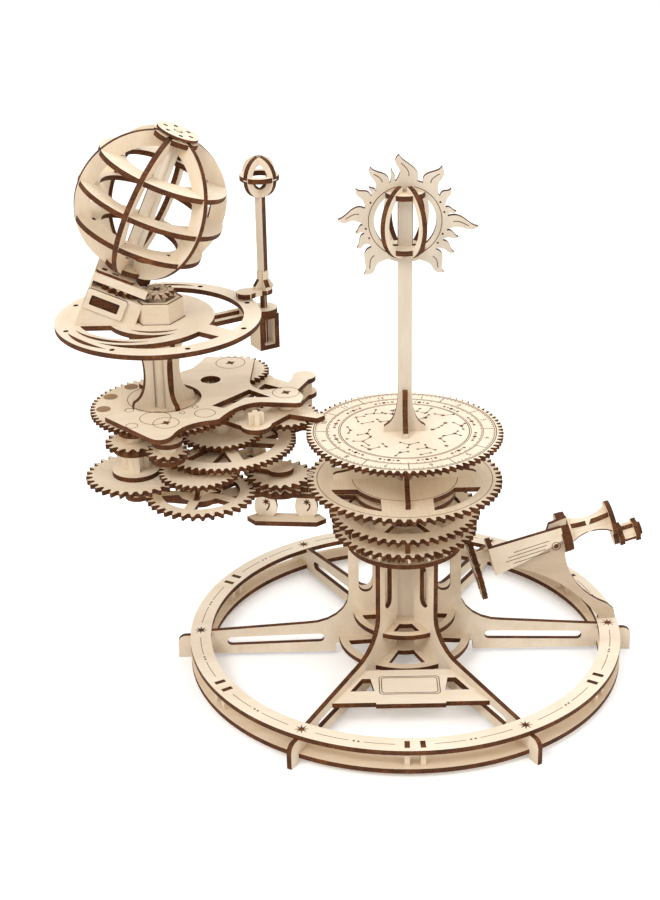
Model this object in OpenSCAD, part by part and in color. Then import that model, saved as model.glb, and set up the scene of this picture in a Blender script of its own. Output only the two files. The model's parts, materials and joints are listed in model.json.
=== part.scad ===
// Tellurion of laser-cut plywood: a crank turns an arm that carries the Earth and
// the Moon round the Sun, through an open train of wooden gears.
// The origin is on the floor under the Sun's post, +X runs to the crank.

/* [Plywood] */
// Thickness of every sheet
ply = 3; // [2.6:0.1:3.4]
// Gap between parts that move past each other
run_gap = 0.5; // [0.4:0.05:0.7]
// Radial clearance of an axle in its hole
fit_gap = 0.05; // [0.03:0.01:0.09]

/* [Base] */
// Outer radius of the two base rings
ring_r = 131; // [128:0.5:136]
// Radial width of the base rings
ring_w = 12.5; // [11:0.5:15]
// Reach of the feet past the rings
foot_r = 8; // [6.5:0.5:13]
// Height of the upper ring's top face over the floor
ring_top = 18; // [17:0.5:21]
// Outer radius of the upright part of the legs
column_r = 34; // [32:0.5:35]
// Height of the tops of the legs
column_top = 77; // [74:0.5:79]

/* [Gears] */
// Tooth size of the coarse gears (pitch diameter over teeth), for the stock arm
coarse = 1.8; // [1.7:0.02:1.86]
// Tooth size of the fine gears, for the stock arm
fine = 1.4; // [1.32:0.02:1.44]
// Play between meshing flanks
play = 0.36; // [0.3:0.02:0.46]

/* [Levels] */
// Top of the fixed gear
fixed_top = 120; // [119:0.25:121]
// Top of the dial
dial_top = 150.4; // [149.5:0.1:151]
// Top of the ring plate under the Earth
orbit_top = 215; // [212:0.5:220]
// Height of the centre of the globe
globe_z = 283; // [281:0.5:288]
// Height of the centre of the Sun
sun_z = 277; // [270:0.5:280]

/* [Earth, Moon and Sun] */
// Angle of the arm from +X
arm_az = 171; // [160:1:180]
// Distance of the Earth's upright axis from the Sun
arm_len = 143; // [136:0.5:158]
// Tilt of the Earth's axis
tilt = 23.4; // [22:0.1:25]
// Radius of the globe
globe_r = 43; // [41:0.5:44]
// Outer radius of the ring plate under the Earth
orbit_r = 59.5; // [58:0.5:62]
// Distance of the Moon's post from the Earth's upright axis
moon_reach = 69; // [68:0.5:73]
// Direction of the Moon's arm from +X
moon_az = 30; // [20:1:40]
// Radius of the Moon
moon_r = 12; // [11:0.5:13]
// Radius of the Sun's cage
sun_r = 21; // [20:0.5:22]
// Length of the longest ray from the Sun's centre
ray_r = 38; // [36:0.5:41]
// Rise of the crank shaft from level
crank_rise = 15; // [13:0.5:16]
// Direction of the crank from +X
crank_az = 6; // [4:0.5:9]

/* [Hidden] */
$fn = 64;
birch = "burlywood";
edge_brown = "peru";
pale = "wheat";

// Tooth counts
n_fixed = 62;
n_planet = 20;
n_spoked = 34;
n_spoked_low = 12;
n_spoked_high = 32;
n_left = 31;
n_left_top = 17;
n_stem = 12;
n_fast_low = 12;
n_fast_big = 62;
n_fast_mid = 34;
n_spin = 13;
n_back_low = 13;
n_back_high = 32;
n_moon = 60;
n_tip = 12;
n_dial = 80;
n_dial_pinion = 26;
n_drum = 48;
n_crown = 40;
n_rim = 46;
n_crank = 26;
n_globe = 18;

// The train fills the arm, so its teeth and the plan of its plates go with the arm's length
stock_arm = 143;
arm_k = arm_len / stock_arm;
coarse_m = coarse * arm_k;
fine_m = fine * arm_k;

// Radii of round stock
axle_r = 2;
stem_r = 5;
post_r = 8;
hub_r = 13;

function pitch(n, m) = n * m / 2;
function polar(r, a) = [r * cos(a), r * sin(a)];
function dist(p, q) = norm(q - p);
function heading(p, q) = atan2(q[1] - p[1], q[0] - p[0]);
// Phase of a gear that meshes with another one seen at a heading
function mesh(phase, n_from, n_to, head) = head + 180 + (head - phase) * n_from / n_to + 180 / n_to;
// The point at two distances from two points, on the left (side 1) or right (side -1) of the line between them
function meet(p, rp, q, rq, side) =
    let (d = dist(p, q), a = (rp * rp - rq * rq + d * d) / (2 * d), h = sqrt(rp * rp - a * a), k = (q - p) / d)
    p + a * k + side * h * [-k[1], k[0]];

// Places of the axles in the arm's own frame: x outwards, y to the left seen from the Sun
sun_at = [0, 0];
earth_at = [arm_len, 0];
planet_at = polar(pitch(n_fixed + n_planet, coarse_m), 2.6);
left_at = earth_at + polar(pitch(n_left_top + n_stem, coarse_m), 60);
spoked_at = meet(planet_at, pitch(n_planet + n_spoked, coarse_m),
    left_at, pitch(n_spoked_low + n_left, coarse_m), 1);
fast_at = meet(spoked_at, pitch(n_spoked_high + n_fast_low, fine_m),
    earth_at, pitch(n_fast_mid + n_spin, fine_m), -1);
back_at = meet(fast_at, pitch(n_fast_big + n_back_low, fine_m), earth_at, pitch(n_back_high + n_moon, fine_m), -1);
tip_at = left_at + polar(pitch(n_left_top + n_tip, coarse_m), 152);
dial_pinion_at = polar(pitch(n_dial + n_dial_pinion, fine_m), -12.4);

// Phases of the gears in the arm's frame, each set by the gear that drives it
ph_fixed = -arm_az;
ph_planet = mesh(ph_fixed, n_fixed, n_planet, heading(sun_at, planet_at));
ph_spoked = mesh(ph_planet, n_planet, n_spoked, heading(planet_at, spoked_at));
ph_left = mesh(ph_spoked, n_spoked_low, n_left, heading(spoked_at, left_at));
ph_stem = mesh(ph_left, n_left_top, n_stem, heading(left_at, earth_at));
ph_tip = mesh(ph_left, n_left_top, n_tip, heading(left_at, tip_at));
ph_fast = mesh(ph_spoked, n_spoked_high, n_fast_low, heading(spoked_at, fast_at));
ph_spin = mesh(ph_fast, n_fast_mid, n_spin, heading(fast_at, earth_at));
ph_back = mesh(ph_fast, n_fast_big, n_back_low, heading(fast_at, back_at));
ph_moon = mesh(ph_back, n_back_high, n_moon, heading(back_at, earth_at));
ph_dial_pinion = mesh(ph_fixed, n_dial, n_dial_pinion, heading(sun_at, dial_pinion_at));

// Levels, each the underside of a sheet
z_fixed = fixed_top - ply;
z_planet_low = z_fixed - ply - 1;
z_cap = fixed_top + 1.4;
z_left = z_cap + 1.1;
z_high = z_left + ply + 1.5;
z_bridge = z_high + ply + run_gap;
z_big = z_bridge + ply + run_gap;
z_mid = z_big + ply + 2;
z_stem = z_mid + ply + 1.5;
z_deck = dial_top + 0.6;
z_disc = z_deck + ply + 2.6;
z_top = z_disc + ply + 1.4;
z_dial = dial_top - ply;
z_orbit = orbit_top - ply;
z_arm_floor = z_planet_low - run_gap - ply;
z_drum = z_fixed - 20;
z_crown = z_drum - 10.6;
z_bearing = column_top;

// Puts a piece on an axle of the arm
module on_arm(at, z = 0) {
    rotate(arm_az) translate([at[0], at[1], z]) children();
}

// A toothed outline with straight flanks; each tooth has two root and two tip corners
module gear_outline(n, m) {
    r = pitch(n, m);
    root_r = r - 1.2 * m;
    tip_r = r + 0.9 * m;
    half = PI * m / 4 - play / 2;
    root_half = (half + 0.3 * m) / root_r * 180 / PI;
    tip_half = (half - 0.36 * m) / tip_r * 180 / PI;
    polygon([for (i = [0:n - 1]) each let (a = i * 360 / n) [
        polar(root_r, a - root_half), polar(tip_r, a - tip_half),
        polar(tip_r, a + tip_half), polar(root_r, a + root_half)]]);
}

module gear(n, m, phase, bore, thick = ply) {
    rotate(phase) linear_extrude(thick) difference() {
        gear_outline(n, m);
        circle(bore);
    }
}

// Round windows in a ring, between spokes
module windows(count, inner, outer, spoke) {
    for (i = [0:count - 1]) rotate(i * 360 / count) difference() {
        intersection() {
            difference() {
                circle(outer);
                circle(inner);
            }
            polygon([[0, 0], 2 * outer * [1, 0], 2 * outer * polar(1, 180 / count),
                2 * outer * polar(1, 360 / count)]);
        }
        translate([-spoke / 2, -spoke / 2]) square([2 * outer, spoke]);
        rotate(360 / count) translate([-spoke / 2, -spoke / 2]) square([2 * outer, spoke]);
    }
}

module axle(r, low, high) {
    translate([0, 0, low]) cylinder(r = r, h = high - low);
}

// An upright fin of sheet in the plane of the axis: outline in radius and height
module fin(angle, points) {
    rotate(angle) rotate([90, 0, 0]) translate([0, 0, -ply / 2]) linear_extrude(ply) polygon(points);
}

// A straight strap between two points, and a round eye at one
module strap(p, q, half) {
    translate(p) rotate(heading(p, q)) translate([0, -half]) square([dist(p, q), 2 * half]);
}

module eye(at, r) {
    translate(at) circle(r);
}

// The outline of a slot with round ends between two points
module round_slot(p, q, r) {
    turn = heading(p, q);
    polygon(concat([for (a = [-90:15:90]) q + polar(r, a + turn)],
        [for (a = [90:15:270]) p + polar(r, a + turn)]));
}

// A smooth edge from one point to another, drawn towards a third
function bend(p, c, q, steps = 8) =
    [for (i = [0:steps]) let (t = i / steps) (1 - t) * (1 - t) * p + 2 * t * (1 - t) * c + t * t * q];

// Crank: the wheel leans with the shaft and meshes under the crown's teeth
crown_r = pitch(n_crown, coarse);
crank_r = pitch(n_crank, coarse);
mesh_z = z_crown - 2.4;
wheel_at = [crown_r + crank_r * sin(crank_rise), 0, mesh_z - crank_r * cos(crank_rise)];
shaft_r = 4;
ear_s = 55;
arm_s = 85;
crank_len = 13;
knob_pin_r = 2.5;

// Along the crank shaft from the wheel, with the piece's own Z on the shaft
module on_crank(s) {
    rotate(crank_az) translate(wheel_at) rotate([0, -crank_rise, 0])
        translate([s, 0, 0]) rotate([0, 90, 0]) children();
}

// Base

ring_in = ring_r - ring_w;
z_upper = ring_top - ply;
z_lower = ply;
foot_end = ring_r + foot_r;
leg_low = 2;
bore_gap = 0.02;
slot_gap = 0.04;

module leg_outline() {
    curve_w = 26;
    curve_h = 20;
    top = ring_top + 4;
    polygon(concat(
        [[hub_r, 8], [42, 8], [42, leg_low], [ring_in - 0.1, leg_low], [ring_in - 0.1, z_lower + ply],
         [ring_r + 0.1, z_lower + ply], [ring_r + 0.1, 0], [foot_end, 0], [foot_end, z_upper - 5]],
        [for (a = [15:15:75]) [foot_end - 5 + 5 * cos(a), z_upper - 5 + 5 * sin(a)]],
        [[foot_end - 5, z_upper], [ring_in - 0.1, z_upper], [ring_in - 0.1, ring_top]],
        [for (a = [0:15:90]) [column_r + curve_w * (1 - sin(a)), top + curve_h * (1 - cos(a))]],
        [[column_r, column_top], [hub_r, column_top]]));
}

module leg(number) {
    color(birch) rotate((number - 1) * 60) rotate([90, 0, 0]) translate([0, 0, -ply / 2]) linear_extrude(ply)
        difference() {
            leg_outline();
            round_slot([52, 12], [106, 10.6], 2.8);
            round_slot([23.5, 48], [23.5, 67], 4.2);
        }
}

module base_ring(z) {
    translate([0, 0, z]) linear_extrude(ply) difference() {
        circle(ring_r, $fn = 128);
        circle(ring_in, $fn = 128);
        for (i = [0:5]) rotate(30 + i * 60) for (s = [-1, 1]) rotate(2 * s)
            translate([ring_in + 3, -ply / 2]) square([ring_w - 6, ply]);
    }
}

module upper_ring() {
    color(birch) base_ring(z_upper);
}

module lower_ring() {
    color(birch) base_ring(z_lower);
}

// Upright plates that key the two rings together between the legs
module ring_joiners() {
    color(edge_brown) for (i = [0:5]) rotate(30 + i * 60) for (s = [-1, 1]) rotate(2 * s)
        translate([ring_in + 3 + bore_gap, -ply / 2 + bore_gap, z_lower])
        cube([ring_w - 6 - 2 * bore_gap, ply - 2 * bore_gap, ring_top - z_lower]);
}

// A round plate with slots that the six legs slide into
module slotted_plate(r, z) {
    translate([0, 0, z]) linear_extrude(ply) difference() {
        circle(r);
        circle(post_r + bore_gap);
        for (i = [0:5]) rotate(i * 60) translate([hub_r - 0.1, -ply / 2 - bore_gap])
            square([r, ply + 2 * bore_gap]);
    }
}

module column_plate() {
    color(birch) slotted_plate(31, 27);
}

module floor_plate() {
    color(birch) slotted_plate(40, 10);
}

// Bare name plate between the two front legs, held by their edges
module front_panel() {
    d = 76;
    w = 2 * (d * tan(30) - ply / 2 / cos(30) - slot_gap);
    color(pale) rotate(-90) translate([d, -w / 2, leg_low + 1]) cube([ply, w, 19]);
}

module bearing_disc() {
    color(birch) translate([0, 0, z_bearing]) linear_extrude(ply) difference() {
        circle(column_r + 0.5);
        circle(post_r + bore_gap);
    }
}

module centre_post() {
    color(pale) difference() {
        translate([0, 0, 4]) cylinder(r = post_r, h = fixed_top - 4);
        translate([0, 0, 3]) cylinder(r = post_r - ply, h = fixed_top);
    }
}

module fixed_gear() {
    color(birch) translate([0, 0, z_fixed]) linear_extrude(ply) difference() {
        gear_outline(n_fixed, coarse_m);
        circle(post_r + bore_gap);
        windows(4, 32, 46, 30);
    }
}

// Radial brackets that stand on the fixed gear and carry the dial
module dial_brackets() {
    h = z_dial - fixed_top;
    color(birch) for (a = [0:90:270]) fin(a, concat(
        [[11, fixed_top], [42, fixed_top], [42, fixed_top + 3]],
        bend([40, fixed_top + 4], [24, fixed_top + 6], [24, fixed_top + h / 2]),
        bend([24, fixed_top + h / 2], [24, z_dial - 5], [34, z_dial - 3]),
        [[36, z_dial], [11, z_dial]]));
}

module dial() {
    color(pale) translate([0, 0, z_dial]) linear_extrude(ply) difference() {
        gear_outline(n_dial, fine_m);
        square([8 + slot_gap, ply + slot_gap], center = true);
    }
}

// Sun

sun_foot = dial_top;
sun_body = sun_r - 1;
blade_half = 4;

module sun_post() {
    neck = sun_z - sun_body;
    flare = concat([[0, sun_foot], [12, sun_foot], [12, sun_foot + 3]],
        bend([11, sun_foot + 4], [blade_half, sun_foot + 7], [blade_half, sun_foot + 26]),
        [[0, sun_foot + 26]]);
    color(birch) {
        fin(0, [[-blade_half, z_dial], [blade_half, z_dial], [blade_half, neck], [-blade_half, neck]]);
        for (a = [-90:90:180]) fin(a, flare);
    }
}

// One curled flame, its foot on the ring and its tip leaning to one side
module flame(foot, tip, half, lean) {
    point = polar(tip, lean);
    waist = (foot + tip) / 2;
    polygon(concat(
        bend([foot, -half], [waist, -half * 1.4], polar(waist + 2, lean * 0.2 - 4), 5),
        bend(polar(waist + 2, lean * 0.2 - 4), [tip - 5, lean > 0 ? 0 : -4], point, 5),
        bend(point, [waist + 3, lean * 0.2 + half * 0.6], [foot, half], 7)));
}

// Direction, reach, half width and lean of the large flames and of the small ones
large_flames = [[92, 1, 7, 6], [123, 0.97, 6.5, 8], [174, 1, 7, -8], [230, 0.98, 7, -9], [304, 0.95, 6.5, 9],
    [358, 1, 7, -6], [58, 0.95, 6.5, 8]];
small_flames = [[148, 0.82, 4.5, 7], [200, 0.8, 4.5, -8], [331, 0.84, 4.5, -7], [20, 0.74, 4, 8], [38, 0.76, 4, -7],
    [108, 0.78, 3.5, -5]];

module sun_rays() {
    color(pale) translate([0, 0, sun_z]) rotate([90, 0, 0]) translate([0, 0, -ply / 2]) linear_extrude(ply)
        difference() {
            union() {
                circle(sun_body);
                for (f = concat(large_flames, small_flames)) rotate(f[0])
                    flame(sun_body - 3, ray_r * f[1], f[2], f[3]);
            }
            circle(sun_body - 7);
            translate([-blade_half - bore_gap, -ray_r - sun_body]) square([2 * (blade_half + bore_gap), ray_r]);
        }
}

// Half hoops that stand proud of the rays, in front and behind
module sun_hoop(a, grow = 0) {
    rotate(a) rotate([90, 0, 0]) translate([0, 0, -(ply + grow) / 2])
        linear_extrude(ply + grow) intersection() {
        difference() {
            circle(sun_r);
            circle(sun_r - 4);
        }
        translate([4.5, -sun_r]) square([sun_r, 2 * sun_r]);
    }
}

hoop_angles = [-128, -62, 52, 118];

module sun_cage() {
    color(edge_brown) translate([0, 0, sun_z]) for (a = hoop_angles) sun_hoop(a);
}

module sun_caps() {
    cap_z = sun_r - 5.5;
    color(edge_brown) translate([0, 0, sun_z]) difference() {
        for (s = [-1, 1]) translate([0, 0, s * cap_z - ply / 2]) cylinder(r = 11, h = ply);
        for (a = hoop_angles) sun_hoop(a, slot_gap);
        translate([-sun_r, -ply / 2 - bore_gap, -sun_r]) cube([2 * sun_r, ply + 2 * bore_gap, 2 * sun_r]);
    }
}

// Crank

module crank_support() {
    color(birch) difference() {
        rotate(crank_az) translate([0, -shaft_r - 1, 0]) rotate([90, 0, 0]) linear_extrude(ply) polygon(concat(
            [[ring_in + 1, ring_top], [ring_r - 1, ring_top], [ring_r - 2, ring_top + 6]],
            bend([ring_r - 6, ring_top + 10], [100, 40], [96.5, 66]), [[96.5, 90], [86, 86]],
            bend([84, 78], [80, 69], [62, 66]), [[60, 64], [60, 60]],
            bend([62, 59], [96, 52], [ring_in + 1, ring_top + 2])));
        on_crank(ear_s - bore_gap) cylinder(r = 12 + bore_gap, h = 5 + 2 * bore_gap);
    }
}

// Side plate along the shaft, with the inner bearing at its end
module crank_cheek() {
    inner_s = 10;
    side = shaft_r + 1 + ply;
    color(birch) difference() {
        union() {
            on_crank(0) translate([0, -side - ply, 0]) rotate([-90, 0, 0]) linear_extrude(ply)
                polygon([[9, -inner_s], [-10, -inner_s], [-9.6, -ear_s], [-1, -ear_s], [6, -inner_s - 18]]);
            on_crank(inner_s) {
                cylinder(r = 10, h = ply);
                translate([-6, -side - 1, 0]) cube([12, shaft_r, ply]);
            }
        }
        on_crank(inner_s - 1) cylinder(r = shaft_r + fit_gap, h = ply + 2);
    }
}

module crank_bearing() {
    color(edge_brown) on_crank(ear_s) difference() {
        cylinder(r = 12, h = 5);
        translate([0, 0, -1]) cylinder(r = shaft_r + fit_gap, h = 7);
    }
}

module crank_shaft() {
    flare_low = ear_s + 5 + run_gap;
    color(pale) {
        on_crank(-2) cylinder(r = shaft_r, h = arm_s + 2);
        on_crank(0) for (a = [45:90:315]) fin(a, concat([[0, flare_low], [7.5, flare_low]],
            bend([7.5, flare_low + 1], [4.5, flare_low + 6], [4.5, flare_low + 12]),
            bend([4.5, flare_low + 12], [5, arm_s - 4], [8.5, arm_s]), [[0, arm_s]]));
    }
}

module crank_wheel() {
    color(birch) on_crank(-ply / 2) rotate(180) linear_extrude(ply) difference() {
        gear_outline(n_crank, coarse);
        circle(shaft_r + bore_gap);
        windows(4, 8, crank_r - 5, 6);
    }
}

knob_h = 13;

module crank_arm() {
    color(birch) on_crank(arm_s) {
        linear_extrude(ply) {
            circle(10.5);
            strap([0, 0], [crank_len, 0], 4.5);
            eye([crank_len, 0], 5.5);
        }
        translate([crank_len, 0, 0]) {
            cylinder(r = knob_pin_r, h = ply + knob_h + run_gap);
            translate([0, 0, ply + knob_h + run_gap]) cylinder(r = knob_pin_r + 1.4, h = 1.5);
        }
    }
}

module crank_knob() {
    flange_r = 7;
    color(edge_brown) on_crank(arm_s + ply + run_gap / 2) translate([crank_len, 0, 0]) difference() {
        union() {
            for (z = [0, knob_h - ply]) translate([0, 0, z]) linear_extrude(ply) difference() {
                circle(flange_r);
                for (i = [0:5]) rotate(i * 60) translate([flange_r + 1.6, 0]) circle(2.8);
            }
            cylinder(r = 4.4, h = knob_h);
            for (i = [0:3]) rotate(30 + i * 90) translate([0, -ply / 2, 0]) cube([5.6, ply, knob_h]);
        }
        translate([0, 0, -1]) cylinder(r = knob_pin_r + fit_gap, h = knob_h + 2);
    }
}

// Carriage: the drum round the column and the plates of the arm

hub_bore = post_r + fit_gap;

module crown_gear() {
    tooth_h = 3.4;
    color(birch) {
        translate([0, 0, z_crown]) linear_extrude(ply) difference() {
            gear_outline(n_rim, coarse);
            circle(hub_bore);
        }
        for (i = [0:n_crown - 1]) rotate(crank_az + (i + 0.5) * 360 / n_crown)
            translate([crown_r - 2, 0, z_crown]) rotate([90, 0, 90]) linear_extrude(4)
                polygon([[-1.15, 0], [1.15, 0], [0.6, -tooth_h], [-0.6, -tooth_h]]);
    }
}

module drum_gear() {
    color(birch) translate([0, 0, z_drum]) linear_extrude(ply) difference() {
        gear_outline(n_drum, coarse_m);
        circle(hub_bore);
        windows(6, 19, 34, 8);
    }
}

// Upright tabs between the crown and the drum gear
module drum_spacers() {
    color(edge_brown) for (i = [0:5]) rotate(30 + i * 60)
        translate([26, -ply / 2, z_crown + ply]) cube([12, ply, z_drum - z_crown - ply]);
}

module arm_plate(z) {
    color(birch) rotate(arm_az) translate([0, 0, z]) linear_extrude(ply) children();
}

module hole_at(at, r = axle_r) {
    translate(at) circle(r + fit_gap);
}

// Places of the posts that join the plates of the arm
post_low = arm_k * [93, -17];
post_back = arm_k * [95, -58];
post_side = arm_k * [66, -43];
post_mid = arm_k * [86, 9];

module arm_floor() {
    arm_plate(z_arm_floor) difference() {
        union() {
            eye(sun_at, 30);
            eye(planet_at, 14);
            eye(spoked_at, 8);
            eye(left_at, 7.5);
            eye(post_low, 7);
            strap(sun_at, planet_at, 11);
            strap(planet_at, spoked_at, 6);
            strap(spoked_at, left_at, 5);
            strap(planet_at, post_low, 5);
        }
        circle(hub_bore);
        hole_at(planet_at);
        hole_at(spoked_at);
        hole_at(left_at);
    }
}

module arm_cap() {
    arm_plate(z_cap) difference() {
        union() {
            eye(planet_at, 8);
            eye(fast_at, 8);
            eye(post_low, 7);
            strap(planet_at, fast_at, 6);
            strap(fast_at, post_low, 5);
            strap(planet_at, post_low, 5);
        }
        hole_at(planet_at);
        hole_at(fast_at);
    }
}

module arm_bridge() {
    arm_plate(z_bridge) difference() {
        union() {
            eye(spoked_at, 8);
            eye(fast_at, 9);
            eye(back_at, 8);
            for (at = [post_low, post_side, post_back]) eye(at, 7.5);
            strap(spoked_at, fast_at, 6);
            strap(fast_at, post_low, 6);
            strap(fast_at, back_at, 6);
            strap(back_at, post_back, 5);
            strap(post_back, post_side, 5);
            strap(post_low, post_side, 5);
        }
        hole_at(spoked_at);
        hole_at(fast_at);
        hole_at(back_at);
    }
}

module arm_deck() {
    arm_plate(z_deck) difference() {
        union() {
            eye(earth_at, 13);
            eye(fast_at, 12);
            for (at = [left_at, tip_at, post_mid, dial_pinion_at]) eye(at, 9);
            for (at = [post_side, post_back, back_at]) eye(at, 7.5);
            strap(earth_at, left_at, 7);
            strap(earth_at, tip_at, 7);
            strap(earth_at, fast_at, 9);
            strap(fast_at, post_mid, 7);
            strap(post_mid, dial_pinion_at, 7);
            strap(dial_pinion_at, post_side, 5);
            strap(post_side, post_back, 5);
            strap(post_back, fast_at, 5);
            strap(back_at, fast_at, 5);
            polygon([dial_pinion_at + [0, 8], arm_k * [52, -3], arm_k * [48, -8], dial_pinion_at + [0, -3]]);
        }
        hole_at(earth_at, stem_r);
        hole_at(left_at);
        hole_at(tip_at);
        hole_at(fast_at);
        hole_at(back_at);
        hole_at(dial_pinion_at);
    }
}

// The top plate: a rounded tip in front, a lobe behind and one towards the Sun
module arm_top() {
    open_r = 22.5;
    arm_plate(z_top) difference() {
        union() {
            polygon(arm_k * concat([[170, 31], [139, 55]], bend([136, 57], [130, 60.5], [126.5, 54]),
                bend([125.5, 51], [124, 34], [107, 28]), bend([104, 26], [98, 2], [84, -0.5]),
                [[64, -1]], bend([61.5, -2], [60, -11], [63, -15]), bend([66, -20], [74, -24], [84, -19]),
                bend([87, -18], [94, -20], [97, -30]), [[101, -66], [132, -66], [135, -48], [141, -41]]));
            translate(earth_at) circle(28);
            strap(dial_pinion_at, post_side, 5);
            eye(post_side, 7);
        }
        translate(earth_at) circle(open_r);
        translate(earth_at) polygon(arm_k * [[0, 0], [60, -60], [60, 27], polar(40, 49)]);
        polygon(arm_k * [[112, 8], [104, 11], [95, -6], [80, -8], [95, -18]]);
        translate(arm_k * [121, -30]) circle(6);
        hole_at(back_at);
        hole_at(dial_pinion_at);
    }
}

module arm_post(at, low, high) {
    on_arm(at, low) rotate(20) translate([-4.5, -ply / 2, 0]) cube([9, ply, high - low]);
    on_arm(at, low) rotate(110) translate([ply / 2, -ply / 2, 0]) cube([3, ply, high - low]);
    on_arm(at, low) rotate(-70) translate([ply / 2, -ply / 2, 0]) cube([3, ply, high - low]);
}

module arm_posts() {
    color(pale) {
        arm_post(post_low, z_arm_floor + ply, z_cap);
        arm_post(post_low, z_cap + ply, z_bridge);
        arm_post(post_side, z_bridge + ply, z_deck);
        arm_post(post_back, z_bridge + ply, z_deck);
        arm_post(post_side, z_deck + ply, z_top);
        arm_post(post_mid, z_deck + ply, z_top);
    }
}

// Gear train on the arm

collar_r = 5;

module planet_gears() {
    color(birch) on_arm(planet_at) {
        translate([0, 0, z_fixed]) gear(n_planet, coarse_m, ph_planet, 0);
        translate([0, 0, z_planet_low]) gear(n_planet, coarse_m, ph_planet, 0);
        axle(collar_r, z_arm_floor + ply + run_gap, z_cap - run_gap);
        axle(axle_r, z_arm_floor, z_cap + ply);
    }
}

module spoked_gear() {
    color(birch) on_arm(spoked_at, z_planet_low) rotate(ph_spoked) linear_extrude(ply) difference() {
        gear_outline(n_spoked, coarse_m);
        circle(collar_r + bore_gap);
        windows(5, 13, 23, 6);
    }
}

module spoked_arbor() {
    color(pale) on_arm(spoked_at) {
        axle(axle_r, z_arm_floor, z_bridge + ply);
        axle(collar_r, z_arm_floor + ply + run_gap, z_high + ply);
        for (a = [0:90:270]) fin(a, concat([[0, z_planet_low + ply], [12, z_planet_low + ply]],
            bend([11.5, z_planet_low + ply + 1], [7, z_planet_low + ply + 2], [6.5, z_left]), [[0, z_left]]));
        translate([0, 0, z_left]) gear(n_spoked_low, coarse_m, ph_spoked, 0);
        translate([0, 0, z_high]) gear(n_spoked_high, fine_m, ph_spoked, 0);
    }
}

module left_wheel() {
    color(birch) on_arm(left_at, z_left) rotate(ph_left) linear_extrude(ply) difference() {
        gear_outline(n_left, coarse_m);
        circle(collar_r + bore_gap);
    }
}

module left_arbor() {
    rib_low = z_left + 2 * ply;
    rib_high = z_stem - ply;
    color(pale) on_arm(left_at) {
        axle(axle_r, z_arm_floor, z_deck + ply);
        axle(collar_r, z_arm_floor + ply + run_gap, z_deck - run_gap);
        axle(14 * arm_k, z_left + ply, rib_low);
        for (a = [20:90:290]) rotate(a) translate([0, -ply / 2, rib_low]) cube([7.8, ply, rib_high - rib_low]);
        axle(12.5, rib_high, z_stem);
        translate([0, 0, z_stem]) gear(n_left_top, coarse_m, ph_left, 0);
    }
}

module fast_wheel() {
    color(birch) on_arm(fast_at, z_big) rotate(ph_fast) linear_extrude(ply) difference() {
        gear_outline(n_fast_big, fine_m);
        circle(collar_r + bore_gap);
        windows(6, 14, 34, 7);
    }
}

module fast_arbor() {
    color(pale) on_arm(fast_at) {
        axle(axle_r, z_cap, z_deck + ply);
        axle(axle_r + 1, z_cap + ply + run_gap, z_bridge - run_gap);
        translate([0, 0, z_high]) gear(n_fast_low, fine_m, ph_fast, 0);
        axle(collar_r, z_bridge + ply + run_gap / 2, z_deck - run_gap);
        translate([0, 0, z_mid]) gear(n_fast_mid, fine_m, ph_fast, 0);
    }
}

module back_arbor() {
    color(birch) on_arm(back_at) {
        axle(axle_r, z_bridge, z_top + ply);
        translate([0, 0, z_big]) gear(n_back_low, fine_m, ph_back, 0);
        axle(collar_r, z_bridge + ply + run_gap / 2, z_deck - run_gap);
        axle(collar_r, z_deck + ply + run_gap, z_top - run_gap);
        translate([0, 0, z_disc]) gear(n_back_high, fine_m, ph_back, 0);
    }
}

module tip_pinion() {
    color(birch) on_arm(tip_at) {
        axle(axle_r, z_stem - ply, z_deck + ply);
        axle(collar_r, z_stem, z_deck - run_gap);
        axle(10, z_stem - ply, z_stem);
        translate([0, 0, z_stem]) gear(n_tip, coarse_m, ph_tip, 0);
    }
}

module dial_pinion() {
    color(birch) on_arm(dial_pinion_at) {
        axle(axle_r, z_dial - ply, z_top + ply);
        translate([0, 0, z_dial]) gear(n_dial_pinion, fine_m, ph_dial_pinion, 0);
        axle(collar_r, z_deck + ply + run_gap, z_top - run_gap);
    }
}

// Earth

spin_r = 2.4;
shell_w = 9;
gear_z = -53;
cap_in = globe_r - 4.4;
cap_gap = 4.4;
block_top = -cap_in - ply - cap_gap;

// The Earth's upright axis, in the world's directions
module on_earth(z = 0) {
    rotate(arm_az) translate([arm_len, 0, z]) rotate(-arm_az) children();
}

// The globe's own frame: its Z is the tilted axis
module on_globe() {
    on_earth(globe_z) rotate([0, tilt, 0]) children();
}

module earth_stem() {
    color(pale) on_arm(earth_at) difference() {
        union() {
            translate([0, 0, z_stem]) gear(n_stem, coarse_m, ph_stem, 0);
            axle(stem_r, z_stem, z_orbit);
            axle(9, z_deck + ply + 0.3, z_disc - 0.3);
            axle(12, z_orbit - ply, z_orbit);
        }
        axle(spin_r + fit_gap, z_stem - 1, z_orbit + 1);
    }
}

// Ring plate: an outer ring, a hub and an eccentric ring that sweeps between them
module orbit_plate() {
    rim = 10;
    swing = 11;
    swept_r = orbit_r - rim / 2 - swing;
    swept_w = 8.5;
    color(birch) on_earth(z_orbit) linear_extrude(ply) difference() {
        union() {
            difference() {
                circle(orbit_r);
                circle(orbit_r - rim);
            }
            translate([-swing, 0]) difference() {
                circle(swept_r);
                circle(swept_r - swept_w);
            }
            circle(29);
            translate([-orbit_r + rim / 2, -13]) square([orbit_r - rim, 26]);
            rotate(-35) translate([25, -6]) square([orbit_r - rim - 23, 12]);
        }
        circle(spin_r + fit_gap);
        for (a = [22:45:337]) rotate(a) translate([orbit_r - rim / 2, 0]) circle(1.6);
    }
}

module gear_box() {
    color(pale) on_earth(orbit_top) linear_extrude(12) difference() {
        circle(15, $fn = 6);
        circle(10.9, $fn = 6);
    }
}

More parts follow.
